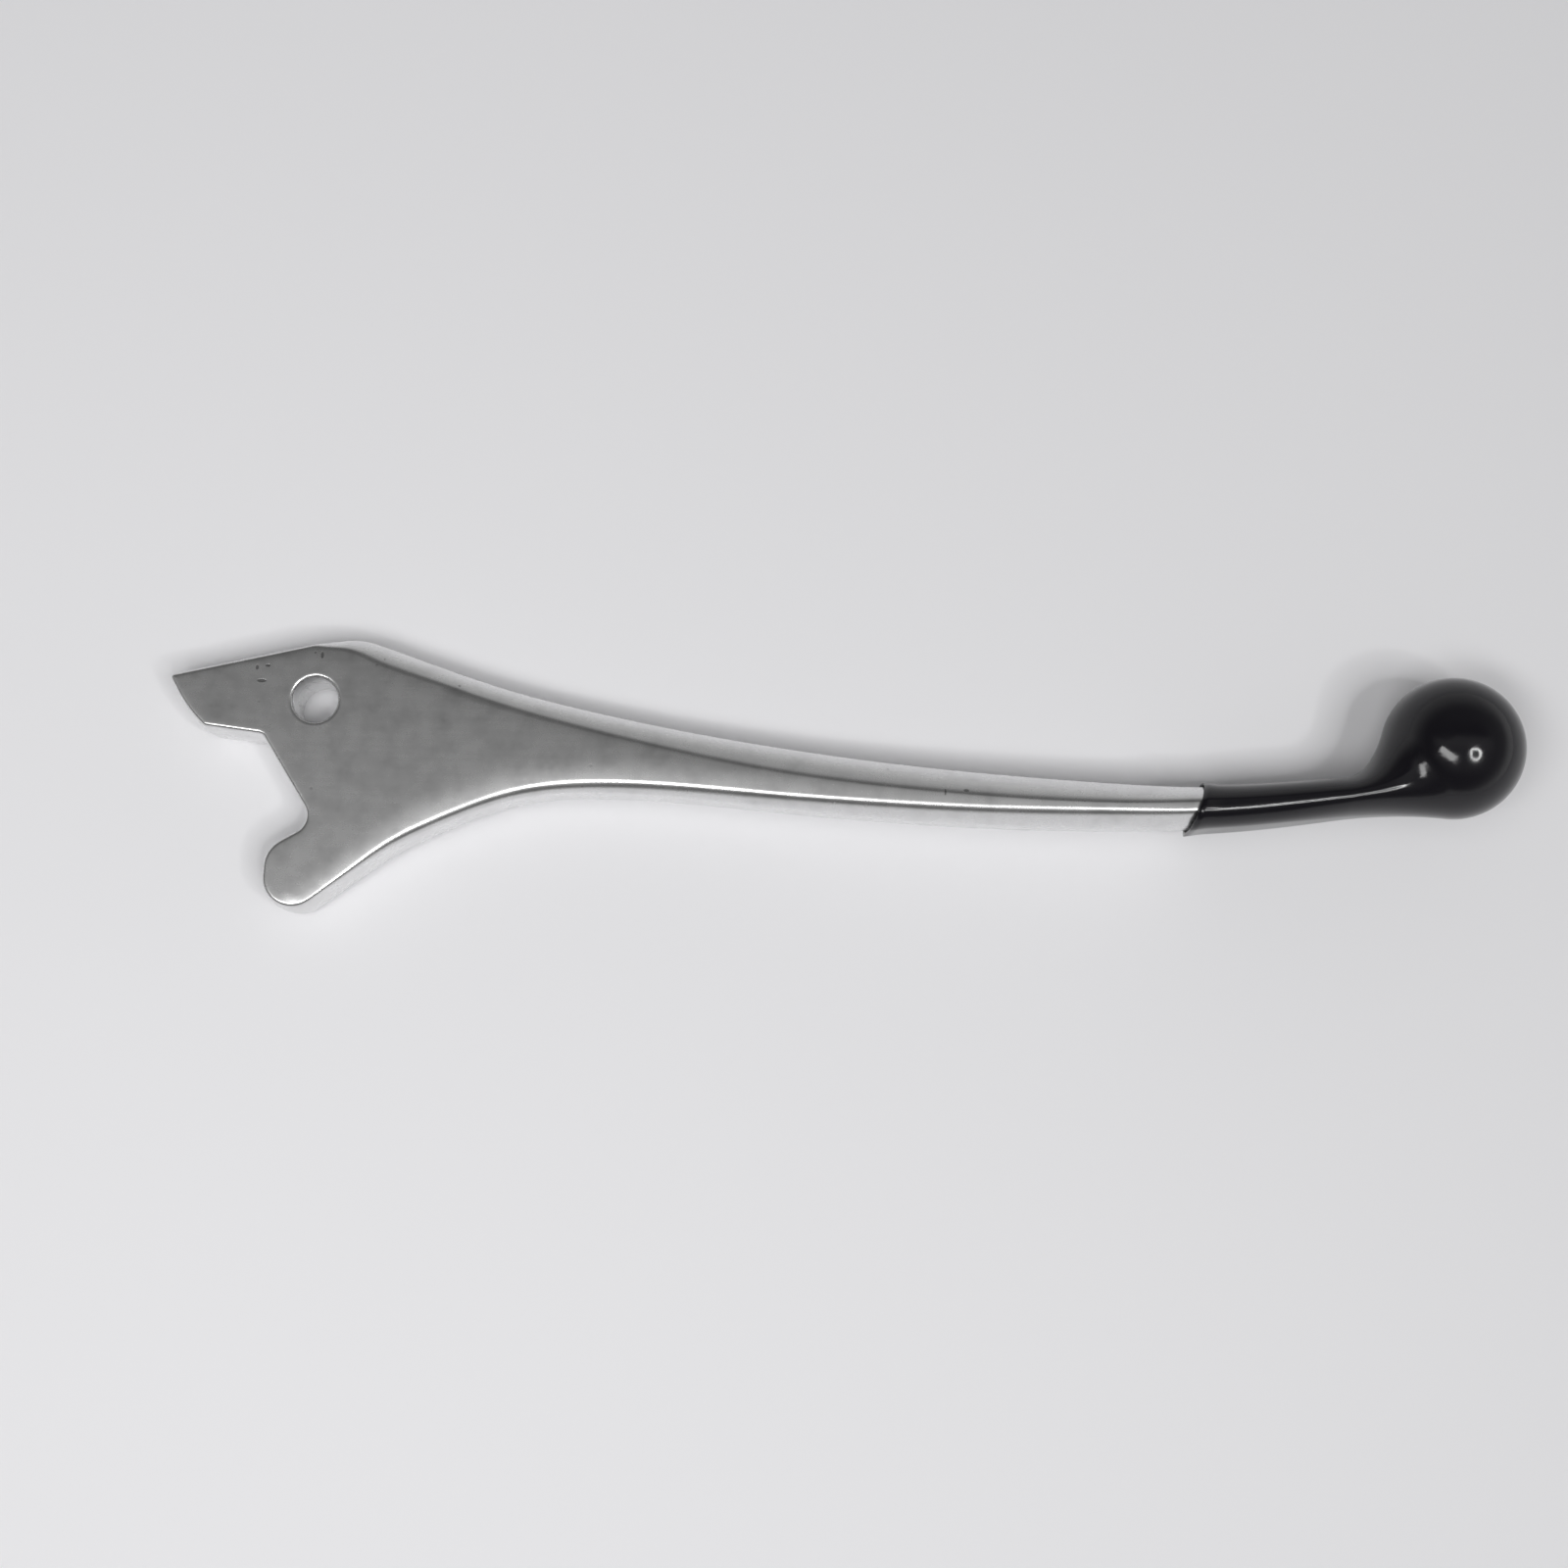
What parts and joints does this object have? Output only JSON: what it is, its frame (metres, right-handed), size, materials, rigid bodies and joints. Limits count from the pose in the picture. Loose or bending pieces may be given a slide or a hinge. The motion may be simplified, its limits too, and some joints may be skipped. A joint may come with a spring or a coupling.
{
  "type": "motorcycle hand lever",
  "caption": "Bare motorcycle hand lever: cast aluminium blade with a plain pivot eye, pointed nose and rounded piston lug, and a black vinyl sleeve over its ball end.",
  "frame": {"origin": "centre of the pivot bore, on the blade's mid-plane", "axes": "+X along the lever to the centre of the ball, +Y to the finger side, +Z along the pivot axis"},
  "size_m": [0.1907, 0.0395, 0.02],
  "materials": {
    "polished_aluminium": "buffed casting, satin on the flat faces and bright along the edges",
    "black_vinyl": "dip-moulded vinyl, semi-gloss with a faint orange peel"
  },
  "bodies": {
    "root": {"lever_blade": "polished_aluminium", "ball_end_sleeve": "black_vinyl"}
  },
  "joints": []
}
